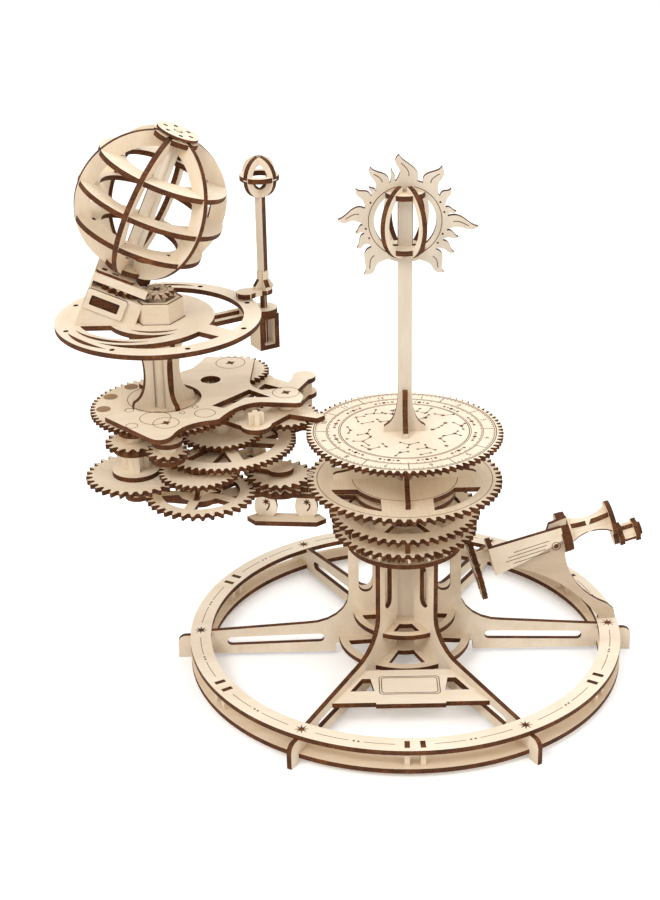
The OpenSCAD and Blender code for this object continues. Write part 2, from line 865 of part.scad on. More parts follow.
module tilt_block() {
    half_x = 16;
    half_y = 12;
    low = -90;
    color(birch) difference() {
        on_globe() difference() {
            translate([-half_x, -half_y, low]) cube([2 * half_x, 2 * half_y, block_top - low]);
            translate([0, 0, gear_z - ply / 2 - run_gap]) translate([-half_x + 1, -half_y - 1, 0])
                cube([2 * half_x, 2 * half_y + 2, ply + 2 * run_gap]);
            translate([0, 0, -64]) cylinder(r = axle_r + fit_gap, h = 30);
        }
        on_earth(orbit_top - 60) cylinder(r = 2 * globe_r, h = 60);
        on_earth(orbit_top) cylinder(r = 15 + bore_gap, h = 12 + run_gap, $fn = 6);
        on_earth(orbit_top + 12) cylinder(r = pitch(n_spin, fine) + 2, h = 30);
    }
}

module spin_shaft() {
    top = orbit_top + 13.8;
    color(pale) {
        on_arm(earth_at, z_mid) gear(n_spin, fine_m, ph_spin, 0);
        on_earth() {
            axle(spin_r, z_mid, top + ply);
            axle(stem_r, orbit_top + 0.4, top);
            translate([0, 0, top]) gear(n_spin, fine, 180, 0);
        }
    }
}

module globe_meridians() {
    color(edge_brown) on_globe() for (a = [15:60:315]) rotate(a) rotate([90, 0, 0]) translate([0, 0, -ply / 2])
        linear_extrude(ply) intersection() {
            difference() {
                circle(globe_r);
                circle(globe_r - shell_w);
            }
            translate([5.5, -globe_r]) square([globe_r, 2 * globe_r]);
        }
}

// The rings of the globe, slotted where the half hoops pass
module globe_parallels() {
    web = 3.5;
    deep = 9;
    color(pale) on_globe() for (z = [-20, 0, 20]) {
        r = sqrt(globe_r * globe_r - z * z) - 0.5;
        slot_in = sqrt(pow(globe_r - shell_w, 2) - pow(abs(z) + ply / 2, 2)) - slot_gap;
        translate([0, 0, z - ply / 2]) linear_extrude(ply) difference() {
            circle(r);
            circle(slot_in - web);
            for (a = [15:60:315]) rotate(a) translate([slot_in, -(ply + slot_gap) / 2])
                square([2 * deep, ply + slot_gap]);
        }
    }
}

module globe_axle() {
    slot_len = 10;
    color(birch) on_globe() {
        axle(axle_r, -62, globe_r + 2);
        for (s = [-1, 1]) translate([0, 0, s * (cap_in + ply / 2) - ply / 2]) linear_extrude(ply) difference() {
            circle(13);
            for (a = [15:60:315]) rotate(a) translate([5.4, -(ply + slot_gap) / 2])
                square([slot_len, ply + slot_gap]);
        }
        translate([0, 0, gear_z - ply / 2]) gear(n_globe, fine, 180 / n_globe, 0);
    }
}

// Moon

z_moon_arm = z_orbit - 8;
moon_box = 13;

module on_moon(r, z) {
    on_earth(z) rotate(moon_az) translate([r, 0, 0]) children();
}

module moon_disc() {
    color(birch) on_arm(earth_at, z_disc) rotate(ph_moon) linear_extrude(ply) difference() {
        gear_outline(n_moon, fine_m);
        circle(stem_r + fit_gap);
    }
}

module moon_column() {
    low = z_disc + ply;
    wide = 19.5;
    color(pale) on_earth() for (a = [0:90:270]) fin(moon_az + a, concat(
        [[6.5, low], [wide, low], [wide, low + 4]],
        bend([wide - 1, low + 6], [11, low + 8], [11, (low + z_moon_arm) / 2]),
        bend([11, (low + z_moon_arm) / 2], [11, z_moon_arm - 8], [wide - 2, z_moon_arm - 3]),
        [[wide - 2, z_moon_arm], [6.5, z_moon_arm]]));
}

module moon_arm() {
    color(birch) on_moon(0, 0) {
        translate([0, 0, z_moon_arm]) linear_extrude(ply) difference() {
            union() {
                circle(18);
                strap([0, 0], [moon_reach, 0], 6.6);
                eye([moon_reach, 0], 8);
            }
            circle(stem_r + fit_gap);
            translate([moon_reach, 0]) circle(axle_r + bore_gap);
            polygon([[24, 3], [24, -3], [54, -3], [54, 3]]);
        }
        difference() {
            translate([moon_reach - moon_box / 2, -moon_box / 2, z_moon_arm - 22])
                cube([moon_box, moon_box, 22]);
            translate([moon_reach - moon_box / 2 + ply, -moon_box, z_moon_arm - 22 + ply])
                cube([moon_box - 2 * ply, 2 * moon_box, 22 - 2 * ply]);
            translate([moon_reach, 0, 0]) cylinder(r = axle_r + bore_gap, h = z_orbit);
        }
    }
}

module moon_post() {
    clip_z = orbit_top + 1;
    color(pale) {
        on_moon(moon_reach, 0) {
            axle(axle_r, z_moon_arm - 22, globe_z + 4 - moon_r);
            for (a = [0:90:270]) fin(a, [[0, clip_z + ply], [6, clip_z + ply], [6, clip_z + ply + 2],
                [3.2, clip_z + ply + 6], [3.2, clip_z + ply + 11], [0, clip_z + ply + 11]]);
        }
        on_moon(0, clip_z) linear_extrude(ply) {
            eye([orbit_r - 2, 0], 6);
            strap([orbit_r - 2, 0], [moon_reach, 0], 4.5);
            eye([moon_reach, 0], 5.5);
        }
    }
}

module moon_ball() {
    color(pale) on_moon(moon_reach, globe_z + 4) {
        for (a = [20, 110]) rotate(a) rotate([90, 0, 0]) translate([0, 0, -ply / 2])
            linear_extrude(ply) difference() {
            circle(moon_r);
            circle(moon_r - 4.5);
        }
        translate([0, 0, -ply / 2]) linear_extrude(ply) difference() {
            circle(moon_r - 0.5);
            circle(moon_r - 4.5);
        }
    }
}

leg(1);  // leg_1
leg(2);  // leg_2
leg(3);  // leg_3
leg(4);  // leg_4
leg(5);  // leg_5
leg(6);  // leg_6
upper_ring();
lower_ring();
ring_joiners();
column_plate();
floor_plate();
front_panel();
bearing_disc();
centre_post();
fixed_gear();
dial_brackets();
dial();
sun_post();
sun_rays();
sun_cage();
sun_caps();
crank_support();
crank_cheek();
crank_bearing();
crank_shaft();
crank_wheel();
crank_arm();
crank_knob();
crown_gear();
drum_gear();
drum_spacers();
arm_floor();
arm_cap();
arm_bridge();
arm_deck();
arm_top();
arm_posts();
planet_gears();
spoked_gear();
spoked_arbor();
left_wheel();
left_arbor();
fast_wheel();
fast_arbor();
back_arbor();
tip_pinion();
dial_pinion();
earth_stem();
orbit_plate();
gear_box();
tilt_block();
spin_shaft();
globe_meridians();
globe_parallels();
globe_axle();
moon_disc();
moon_column();
moon_arm();
moon_post();
moon_ball();
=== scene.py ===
"""Looks of the tellurion: birch plywood with charred laser-cut edges, in a white studio."""
import json
import math
import random

import bmesh
import bpy
import numpy as np
from mathutils import Matrix, Vector


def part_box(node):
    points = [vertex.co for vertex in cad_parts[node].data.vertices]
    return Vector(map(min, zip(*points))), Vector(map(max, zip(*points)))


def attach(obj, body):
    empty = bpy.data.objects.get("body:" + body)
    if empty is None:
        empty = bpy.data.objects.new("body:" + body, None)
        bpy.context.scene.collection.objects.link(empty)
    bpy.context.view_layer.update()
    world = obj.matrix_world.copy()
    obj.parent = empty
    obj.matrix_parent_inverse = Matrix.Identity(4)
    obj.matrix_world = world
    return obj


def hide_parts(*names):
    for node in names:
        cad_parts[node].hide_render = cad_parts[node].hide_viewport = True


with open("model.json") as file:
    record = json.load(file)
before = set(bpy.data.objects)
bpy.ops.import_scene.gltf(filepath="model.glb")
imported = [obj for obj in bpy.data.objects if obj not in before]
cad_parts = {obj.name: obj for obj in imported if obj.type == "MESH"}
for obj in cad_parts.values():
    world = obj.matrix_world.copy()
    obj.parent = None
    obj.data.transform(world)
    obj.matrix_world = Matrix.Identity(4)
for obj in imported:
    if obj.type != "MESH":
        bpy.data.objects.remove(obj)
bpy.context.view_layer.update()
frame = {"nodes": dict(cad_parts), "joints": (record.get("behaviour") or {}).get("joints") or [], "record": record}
nodes = frame["nodes"]
MM = 0.001
SHEET = 3  # thickness of the plywood, mm; lengths below are in mm unless a comment says otherwise
ARM_AZ = math.radians(171)
TILT = math.radians(23.4)

# Camera: fitted to the photograph, principal point in the middle of 660 x 900
FOCAL_PX = 1713.5
FRAME_H = 900


def make_camera():
    """The photograph's viewpoint; distances are in metres."""
    azimuth, elevation, distance = math.radians(-2.777), math.radians(31.119), 1.05847
    heading, pitch, roll = math.radians(-0.019), math.radians(25.232), math.radians(-1.070)
    target_z = 0.018
    eye = Vector((math.sin(azimuth) * math.cos(elevation), -math.cos(azimuth) * math.cos(elevation),
                  math.sin(elevation))) * distance + Vector((0, 0, target_z))
    ahead = Vector((-math.sin(heading) * math.cos(pitch), math.cos(heading) * math.cos(pitch),
                    -math.sin(pitch)))
    right = Vector((math.cos(heading), math.sin(heading), 0))
    up = right.cross(ahead)
    right, up = (math.cos(roll) * right + math.sin(roll) * up, -math.sin(roll) * right + math.cos(roll) * up)
    data = bpy.data.cameras.new("camera")
    data.sensor_width = 36
    data.lens = FOCAL_PX / FRAME_H * data.sensor_width
    data.clip_start, data.clip_end = 0.05, 20
    cam = bpy.data.objects.new("camera", data)
    rot = Matrix((right, up, -ahead)).transposed()
    cam.matrix_world = Matrix.Translation(eye) @ rot.to_4x4()
    bpy.context.scene.collection.objects.link(cam)
    bpy.context.scene.camera = cam


make_camera()


# Shader groups

def new_group(name, inputs, outputs):
    g = bpy.data.node_groups.new(name, "ShaderNodeTree")
    for side, sockets in (("INPUT", inputs), ("OUTPUT", outputs)):
        for label, kind in sockets:
            g.interface.new_socket(label, in_out=side, socket_type=kind)
    return g, g.nodes.new("NodeGroupInput"), g.nodes.new("NodeGroupOutput")


def node(tree, kind, **values):
    n = tree.nodes.new(kind)
    for key, value in values.items():
        setattr(n, key, value)
    return n


def feed(tree, socket, value):
    """Links a socket to another node's output, or sets it to a plain value."""
    if isinstance(value, bpy.types.NodeSocket):
        tree.links.new(value, socket)
    else:
        socket.default_value = value


def mix_colour(tree, factor, a, b, blend="MIX"):
    n = node(tree, "ShaderNodeMix", data_type="RGBA", blend_type=blend)
    for socket, value in ((n.inputs[0], factor), (n.inputs[6], a), (n.inputs[7], b)):
        feed(tree, socket, value)
    return n.outputs[2]


def math_node(tree, operation, a, b):
    n = node(tree, "ShaderNodeMath", operation=operation)
    feed(tree, n.inputs[0], a)
    feed(tree, n.inputs[1], b)
    return n.outputs[0]


def weighted(tree, *terms):
    """Sum of values times their weights."""
    parts = [math_node(tree, "MULTIPLY", value, weight) for value, weight in terms]
    total = parts[0]
    for part in parts[1:]:
        total = math_node(tree, "ADD", total, part)
    return total


def ramp(tree, factor, stops):
    n = node(tree, "ShaderNodeValToRGB")
    while len(n.color_ramp.elements) < len(stops):
        n.color_ramp.elements.new(0.5)
    for e, (at, value) in zip(n.color_ramp.elements, stops):
        e.position = at
        e.color = (*value, 1)
    tree.links.new(factor, n.inputs[0])
    return n.outputs[0]


def noise(tree, vector, scale, detail=3.0, rough=0.5, distortion=0.0):
    n = node(tree, "ShaderNodeTexNoise")
    n.inputs["Scale"].default_value = scale
    n.inputs["Detail"].default_value = detail
    n.inputs["Roughness"].default_value = rough
    n.inputs["Distortion"].default_value = distortion
    tree.links.new(vector, n.inputs["Vector"])
    return n.outputs[0]


def stretch(tree, vector, scale):
    n = node(tree, "ShaderNodeVectorMath", operation="MULTIPLY")
    n.inputs[1].default_value = scale
    tree.links.new(vector, n.inputs[0])
    return n.outputs[0]


SURFACE_OUTPUTS = [("Color", "NodeSocketColor"), ("Height", "NodeSocketFloat"), ("Rough", "NodeSocketFloat")]


def grain_group():
    """Birch veneer: long pale streaks, fine pores and soft stains along the vector's X."""
    g, gin, gout = new_group("birch_grain", [("Vector", "NodeSocketVector"), ("Pale", "NodeSocketColor"),
                                             ("Deep", "NodeSocketColor")], SURFACE_OUTPUTS)
    vec = gin.outputs[0]
    broad = noise(g, stretch(g, vec, (8, 75, 75)), 1.0, 3, 0.55, 0.6)
    fine = noise(g, stretch(g, vec, (45, 900, 900)), 1.0, 4, 0.65)
    pores = noise(g, stretch(g, vec, (150, 2600, 2600)), 1.0, 2, 0.5)
    stain = noise(g, stretch(g, vec, (22, 26, 26)), 1.0, 3, 0.5)
    streak = weighted(g, (broad, 0.6), (fine, 0.4))
    depth = ramp(g, streak, [(0.36, (0, 0, 0)), (0.66, (1, 1, 1))])
    base = mix_colour(g, depth, gin.outputs[1], gin.outputs[2])
    flecks = ramp(g, pores, [(0.60, (1, 1, 1)), (0.74, (0.80, 0.72, 0.62))])
    base = mix_colour(g, 0.5, base, flecks, "MULTIPLY")
    tone = ramp(g, stain, [(0.3, (0.93, 0.90, 0.86)), (0.7, (1.0, 1.0, 1.0))])
    base = mix_colour(g, 0.8, base, tone, "MULTIPLY")
    g.links.new(base, gout.inputs[0])
    g.links.new(weighted(g, (fine, 0.5), (pores, -0.5)), gout.inputs[1])
    g.links.new(math_node(g, "ADD", math_node(g, "MULTIPLY", fine, 0.18), 0.52), gout.inputs[2])
    return g


def edge_group():
    """Laser-cut edge: charred brown with fine beam lines and burnt patches."""
    g, gin, gout = new_group("charred_edge", [("Vector", "NodeSocketVector")], SURFACE_OUTPUTS)
    vec = gin.outputs[0]
    lines = noise(g, stretch(g, vec, (1500, 1500, 260)), 1.0, 2, 0.6)
    layers = noise(g, stretch(g, vec, (120, 120, 1400)), 1.0, 2, 0.5)
    patch = noise(g, stretch(g, vec, (90, 90, 90)), 1.0, 3, 0.6)
    amount = weighted(g, (lines, 0.3), (layers, 0.3), (patch, 0.4))
    colour = ramp(g, amount, [(0.34, (0.030, 0.0085, 0.0020)), (0.5, (0.088, 0.0260, 0.0055)),
                              (0.68, (0.22, 0.078, 0.0190))])
    g.links.new(colour, gout.inputs[0])
    g.links.new(amount, gout.inputs[1])
    g.links.new(math_node(g, "ADD", math_node(g, "MULTIPLY", patch, 0.2), 0.6), gout.inputs[2])
    return g


GRAIN, EDGE = grain_group(), edge_group()


BUMP_DEPTH = 0.0003  # metres


def surface(name, group, turn=(0, 0, 0), shift=(0, 0, 0), colours=(), bump=0.05):
    """A material made of one shared group, with its own direction and place of the grain."""
    m = bpy.data.materials.new(name)
    m.use_nodes = True
    t = m.node_tree
    bsdf = next(n for n in t.nodes if n.type == "BSDF_PRINCIPLED")
    where = node(t, "ShaderNodeTexCoord")
    place = node(t, "ShaderNodeMapping")
    place.inputs["Rotation"].default_value = turn
    place.inputs["Location"].default_value = shift
    t.links.new(where.outputs["Object"], place.inputs["Vector"])
    g = node(t, "ShaderNodeGroup")
    g.node_tree = group
    t.links.new(place.outputs[0], g.inputs[0])
    for i, c in enumerate(colours):
        g.inputs[1 + i].default_value = (*c, 1)
    t.links.new(g.outputs[0], bsdf.inputs["Base Color"])
    t.links.new(g.outputs[2], bsdf.inputs["Roughness"])
    b = node(t, "ShaderNodeBump")
    b.inputs["Strength"].default_value = bump
    b.inputs["Distance"].default_value = BUMP_DEPTH
    t.links.new(g.outputs[1], b.inputs["Height"])
    t.links.new(b.outputs[0], bsdf.inputs["Normal"])
    bsdf.inputs["Specular IOR Level"].default_value = 0.25
    return m


# Pale and deep colour of each kind of veneer; soft and tan also carry painted shade, as noted below
TONES = {
    "birch": ((0.86, 0.745, 0.59), (0.77, 0.63, 0.465)),
    "pale": ((0.88, 0.775, 0.63), (0.81, 0.68, 0.52)),
    "warm": ((0.83, 0.70, 0.54), (0.73, 0.58, 0.42)),
    # soft: the pale veneer darkened to about four fifths, painted shade on upright faces turned from the light
    "soft": ((0.71, 0.62, 0.505), (0.65, 0.545, 0.42)),
    # tan: partly a tanner veneer, partly painted shade
    "tan": ((0.63, 0.505, 0.375), (0.55, 0.425, 0.30)),
}
picker = random.Random(7)
char = surface("charred_edge", EDGE, bump=0.25)


def ply(name, tone, direction):
    """Veneer with its grain along an axis, a little askew if level, and its own place in the pattern."""
    turn = {"x": (0, 0, 0), "y": (0, 0, math.pi / 2), "z": (0, math.pi / 2, 0)}[direction]
    jitter = (0, 0, picker.uniform(-0.25, 0.25)) if direction != "z" else (0, 0, 0)
    shift = tuple(picker.uniform(0, 3) for _ in range(3))
    return surface(name, GRAIN, tuple(a + b for a, b in zip(turn, jitter)), shift, TONES[tone], 0.08)


def islands(points, tris):
    """Number of the connected piece that each triangle is in."""
    _, merged = np.unique(np.round(points, 6), axis=0, return_inverse=True)
    tris = merged.reshape(-1)[tris]
    label = np.arange(merged.max() + 1)
    while True:
        low = label[tris].min(1)
        new = label.copy()
        for k in range(3):
            np.minimum.at(new, tris[:, k], low)
        new = new[new]
        if (new == label).all():
            return label[tris[:, 0]]
        label = new


def sheet_faces(obj, share=0.3):
    """True for each polygon that lies on a sheet's face; the others are cut edges."""
    mesh = obj.data
    points = np.array([v.co for v in mesh.vertices])
    polys = [tuple(p.vertices) for p in mesh.polygons]
    normal = np.array([p.normal for p in mesh.polygons])
    area = np.array([p.area for p in mesh.polygons])
    piece = islands(points, np.array([p[:3] for p in polys]))
    flip = np.where(normal[np.arange(len(normal)), np.abs(normal).argmax(1)] < 0, -1, 1)
    key = np.round(normal * flip[:, None], 2)
    result = np.zeros(len(polys), bool)
    for i in np.unique(piece):
        own = np.where(piece == i)[0]
        _, where = np.unique(key[own], axis=0, return_inverse=True)
        total = np.bincount(where.reshape(-1), weights=area[own])
        result[own] = (total >= share * total.max())[where.reshape(-1)]
    return result


# Veneer of each CAD node; the rest are birch
STOCK = {
    "pale": {"dial", "front_panel", "sun_rays", "orbit_plate", "globe_parallels", "moon_ball", "arm_top",
             "upper_ring"},
    "warm": {"drum_spacers", "floor_plate", "column_plate", "lower_ring", "arm_floor", "arm_bridge",
             "ring_joiners"},
    # The Sun's post takes soft, a veneer darkened with painted shade
    "soft": {"sun_post"},
    # The crank's support takes tan: a tanner veneer, darkened further with painted shade
    "tan": {"crank_support"},
}
UPRIGHT = {"sun_post", "moon_column", "moon_post", "dial_brackets", "arm_posts", "centre_post", "sun_cage",
           "globe_meridians"}


def joint_of(node_name):
    """The joint that carries a CAD node's body, or None on the fixed base."""
    body = next(b for b, members in frame["record"]["behaviour"]["bodies"].items() if node_name in members)
    return next((j for j in frame["joints"] if j["child"] == body), None)


def turned_stock(obj, joint, reach):
    """True for each polygon of an axle or collar: within reach of the joint's axis, facing away from it."""
    at, way = Vector(joint["pos_m"]), Vector(joint["axis"]).normalized()
    result = []
    for p in obj.data.polygons:
        arm = p.center - at
        result.append((arm - way * arm.dot(way)).length < reach * MM and abs(p.normal.dot(way)) < 0.3)
    return np.array(result)


# Nodes with an axle or collar, and how far from the axis it reaches
AXLE = 8.6
TURNED = dict.fromkeys(("planet_gears", "spoked_arbor", "left_arbor", "fast_arbor", "back_arbor",
                        "tip_pinion", "dial_pinion", "earth_stem", "spin_shaft"), AXLE)
TURNED.update({"crank_shaft": 4.6, "globe_axle": 4.0, "crank_knob": 5.5})
ROUND_STOCK = {"centre_post"}

for name, obj in nodes.items():
    tone = next((kind for kind, names in STOCK.items() if name in names), "birch")
    direction = "z" if name in UPRIGHT else picker.choice("xy")
    obj.data.materials.clear()
    obj.data.materials.append(ply("ply_" + name, tone, direction))
    obj.data.materials.append(char)
    faces = sheet_faces(obj)
    if name in TURNED:
        faces |= turned_stock(obj, joint_of(name), TURNED[name])
    elif name in ROUND_STOCK:
        faces[:] = True
    obj.data.polygons.foreach_set("material_index", np.where(faces, 0, 1).astype(np.int32))
    obj.data.update()


# Outlines and places

def around(angle, r, at=(0, 0)):
    """The point at an angle in degrees and a radius from another point."""
    return at[0] + r * math.cos(math.radians(angle)), at[1] + r * math.sin(math.radians(angle))


def circle(at, r, start=0.0, end=360.0, sides=48):
    """Points of an arc; a full turn leaves out its last point, which is the first one again."""
    n = sides if end - start >= 360 else sides + 1
    return [around(start + (end - start) * i / sides, r, at) for i in range(n)]


def round_box(low, high, r):
    """Outline of a box with rounded corners."""
    (x0, y0), (x1, y1) = low, high
    corners = ((x1 - r, y1 - r), (x0 + r, y1 - r), (x0 + r, y0 + r), (x1 - r, y0 + r))
    return [p for i, at in enumerate(corners) for p in circle(at, r, 90 * i, 90 * i + 90, 5)]


def plain_box(low, high):
    """Outline of a box with sharp corners."""
    (x0, y0), (x1, y1) = low, high
    return [(x0, y0), (x1, y0), (x1, y1), (x0, y1)]


def joint_named(name):
    return next(j for j in frame["joints"] if j["name"] == name)


def joint_at(name):
    """Where a joint is on the plan."""
    x, y, _ = joint_named(name)["pos_m"]
    return x / MM, y / MM


# Engraved marks, and marks of painted shade

# Charred brown for the engraved lines; the same finish paints shade in the block's window and the ring plate's
# slots
burnt = surface("burnt_line_and_shade", EDGE, bump=0.05)
# Grained brown that paints the shade seen through the Moon disc's windows
window_shade_finish = surface("window_painted_shade", GRAIN, colours=((0.36, 0.22, 0.115), (0.27, 0.155, 0.075)), bump=0.05)
LINE, FIRM, BOLD = 0.34, 0.4, 0.5  # widths of lines
LIFT = 0.05  # height of a mark's top over its face
SINK = 0.15  # depth of a mark below its top


class Engraving:
    """Burnt marks, and marks of painted shade, on one face, gathered into a thin closed mesh. Places are in
    millimetres on that face.
    """

    def __init__(self):
        self.points, self.faces = [], []

    def shape(self, outline):
        start = len(self.points)
        self.points += [tuple(p) for p in outline]
        self.faces.append(tuple(range(start, len(self.points))))

    def line(self, p, q, width=LINE):
        self.path([p, q], [width, width])

    def path(self, points, widths, closed=False):
        """One strip through the points, with its width at each of them."""
        points = [Vector(p) for p in points]
        start, count = len(self.points), len(points)
        for i, (p, width) in enumerate(zip(points, widths)):
            ways = []
            if closed or i:
                ways.append((p - points[i - 1]).normalized())
            if closed or i < count - 1:
                ways.append((points[(i + 1) % count] - p).normalized())
            way = sum(ways, Vector((0, 0))).normalized()
            side = way.orthogonal() * width / 2 / max(0.5, way.dot(ways[0]))
            self.points += [tuple(p - side), tuple(p + side)]
        for i in range(count if closed else count - 1):
            here, there = start + 2 * i, start + 2 * ((i + 1) % count)
            self.faces.append((here, there, there + 1, here + 1))

    def ring(self, at, r, width=LINE, start=0.0, end=360.0):
        steps = max(3, int(abs(end - start) / 360 * max(24, 3 * r)))
        points = circle(at, r, start, end, steps)
        self.path(points, [width] * len(points), len(points) == steps)

    def hexagon(self, r, width):
        self.path(circle((0, 0), r, sides=6), [width] * 6, True)

    def tick(self, angle, r0, r1, width=LINE):
        self.line(around(angle, r0), around(angle, r1), width)

    def dot(self, at, r, sides=12):
        self.shape(circle(at, r, sides=sides))

    def star(self, at, r, rays=8, waist=0.36, turn=0.0):
        half = math.pi / rays
        self.shape([(at[0] + k * math.cos(t), at[1] + k * math.sin(t)) for i in range(rays)
                    for k, t in ((r * waist, turn + (2 * i - 1) * half), (r, turn + 2 * i * half))])

    def number(self, text, at, height, turn):
        curve = bpy.data.curves.new("number", "FONT")
        curve.body, curve.size, curve.align_x, curve.align_y = text, height, "CENTER", "CENTER"
        curve.resolution_u = 3
        holder = bpy.data.objects.new("number", curve)
        bpy.context.scene.collection.objects.link(holder)
        bpy.context.view_layer.update()
        mesh = bpy.data.meshes.new_from_object(holder)
        spin = Matrix.Rotation(turn, 2)
        start = len(self.points)
        self.points += [tuple(Vector(at) + spin @ v.co.xy) for v in mesh.vertices]
        self.faces += [tuple(start + i for i in poly.vertices) for poly in mesh.polygons]
        bpy.data.objects.remove(holder)
        bpy.data.meshes.remove(mesh)

    def lay(self, name, body, place, finish=burnt):
        """place takes x and y on the face to the row frame, in millimetres; its z points out of the face."""
        mesh = bpy.data.meshes.new(name)
        spots = [place @ Vector((x, y, LIFT)) * MM for x, y in self.points]
        mesh.from_pydata(spots, [], self.faces)
        obj = bpy.data.objects.new(name, mesh)
        bpy.context.scene.collection.objects.link(obj)
        mesh.materials.append(finish)
        thick = obj.modifiers.new("depth", "SOLIDIFY")
        thick.thickness, thick.offset = SINK * MM, -1
        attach(obj, body)


def level(node_name, x=0.0, y=0.0):
    """The frame of a sheet's top face, turned as the row is, with its origin over the point x, y."""
    return Matrix.Translation((x, y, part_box(node_name)[1][2] / MM))


# The dial: radius and width of its rings, spans of its scales, its numbers, and the dots in each field
DIAL_RINGS = ((53.2, BOLD), (52.2, LINE), (45.6, LINE), (44.8, LINE), (38.6, LINE), (37.6, BOLD))
OUTER_TICK, FIELD_LINE, INNER_TICK = (50.9, 52.2), (45.6, 52.2), (43.6, 44.8)
NUMBERS_R, NUMBER_HEIGHT = 48.3, 4.6
DOTS_R, DOTS_STEP, DIAL_DOTS = 41.2, 3.6, (0.9, 0.6, 1.2, 0.6, 0.9)
# Its stars: how many, the radius their spread starts from, its width, and the turn in radians to the next
STARS, STARS_FROM, STARS_SPREAD, GOLDEN_TURN = 26, 13, 22.5, 2.39996
# The lines between them: width, the dot at the end, and the radii they keep between
JOIN_WIDTH, JOIN_DOT, SKY_IN, SKY_OUT = 0.42, 0.8, 11, 36.6


def engrave_dial():
    """Rings, ticks, the numbers 1 to 12 and a scatter of stars on the dial."""
    e = Engraving()
    for r, width in DIAL_RINGS:
        e.ring((0, 0), r, width)
    for i in range(120):
        if i % 10:
            e.tick(i * 3, *OUTER_TICK)
        else:
            e.tick(i * 3, *FIELD_LINE, BOLD)
    for i in range(60):
        e.tick(i * 6, *INNER_TICK)
    for i in range(12):
        middle = 75 - 30 * i
        e.number(str(i + 1), around(middle, NUMBERS_R), NUMBER_HEIGHT, math.radians(middle) - math.pi / 2)
        for k, r in enumerate(DIAL_DOTS):
            e.dot(around(middle + (k - 2) * DOTS_STEP, DOTS_R), r)
    sky = random.Random(23)
    for i in range(STARS):
        a, r = i * GOLDEN_TURN, STARS_FROM + STARS_SPREAD * math.sqrt((i + 0.5) / STARS)
        at = Vector((r * math.cos(a), r * math.sin(a)))
        e.star(at, sky.uniform(1.2, 1.9), 6, 0.4, sky.uniform(0, 1))
        way = sky.uniform(0, 2 * math.pi)
        for _ in range(sky.choice((1, 2, 2, 3))):
            way += sky.uniform(1.3, 2.6)
            to = at + Vector((math.cos(way), math.sin(way))) * sky.uniform(4.0, 7.0)
            if SKY_IN < to.length < SKY_OUT:
                e.line(at, to, JOIN_WIDTH)
                e.dot(to, JOIN_DOT, 8)
    e.lay("dial_marks", "base", level("dial"))


# The base ring's marks: their radius and sizes, and where the arcs and dots are in degrees from each leg
RING_MARKS_R, RING_STAR, RING_DOT = 124.8, 4.2, 0.7
RING_ARCS, RING_DOTS = ((4, 13), (17, 25)), (14.4, 15.6)


def engrave_ring():
    """Stars by the legs, thin arcs and pairs of dots on the base's upper ring."""
    e = Engraving()
    for leg in range(0, 360, 60):
        e.star(around(leg, RING_MARKS_R), RING_STAR)
        for side in (-1, 1):
            for start, end in RING_ARCS:
                e.ring((0, 0), RING_MARKS_R, LINE, leg + side * start, leg + side * end)
            for angle in RING_DOTS:
                e.dot(around(leg + side * angle, RING_MARKS_R), RING_DOT)
    e.lay("ring_marks", "base", level("upper_ring"))


# The Moon disc's windows: how many, their turn in degrees, the radius they are at and their own
SPOTS, SPOTS_TURN, SPOTS_R, SPOT_R = 12, 8, 35.4, 4.3
FIXED_GEAR_RINGS = (51.6, 31.0)
# Rings on the arm's top plate, round the axles below it and round the Earth's stem
AXLE_RINGS = (("tip_turn", 7.5), ("back_turn", 9.0), ("dial_follower_turn", 8.0))
STEM_RING = 21.0
# The other rings there, clear of the Moon's column as it passes: along the arm, across it, radius
TOP_RINGS = ((140.7, 29, 9), (113.8, 19, 6), (158.5, 20, 2.6), (121.4, 11, 1.8), (151.5, 41, 3.4),
             (127, 20, 1.6))


def engrave_train():
    """Rings on the wheels and on the arm's top plate, and the Moon disc's round windows as spots of painted shade.
    """
    e = Engraving()
    # The windows are not cut; spots of painted shade lie in their place
    for i in range(SPOTS):
        e.dot(around(360 / SPOTS * i + SPOTS_TURN, SPOTS_R), SPOT_R, 24)
    e.lay("moon_disc_window_shade", "moon", level("moon_disc", *joint_at("moon_turn")), window_shade_finish)
    e = Engraving()
    for r in FIXED_GEAR_RINGS:
        e.ring((0, 0), r)
    e.lay("fixed_gear_marks", "base", level("fixed_gear"))
    e = Engraving()
    for name, r in AXLE_RINGS:
        e.ring(joint_at(name), r)
        e.star(joint_at(name), 0.42 * min(r, 8), 4, 0.5, 0.5)
    e.ring(joint_at("earth_frame_turn"), STEM_RING)
    turn = Matrix.Rotation(ARM_AZ, 2)
    for along, across, r in TOP_RINGS:
        e.ring(tuple(turn @ Vector((along, across))), r)
    e.lay("arm_top_marks", "carriage", level("arm_top"))


# Sheet pieces that dress the solids

QUARTER_X = Matrix.Rotation(math.pi / 2, 4, "X")  # stands a level sheet up, its face to the front
QUARTER_Y = Matrix.Rotation(math.pi / 2, 4, "Y")


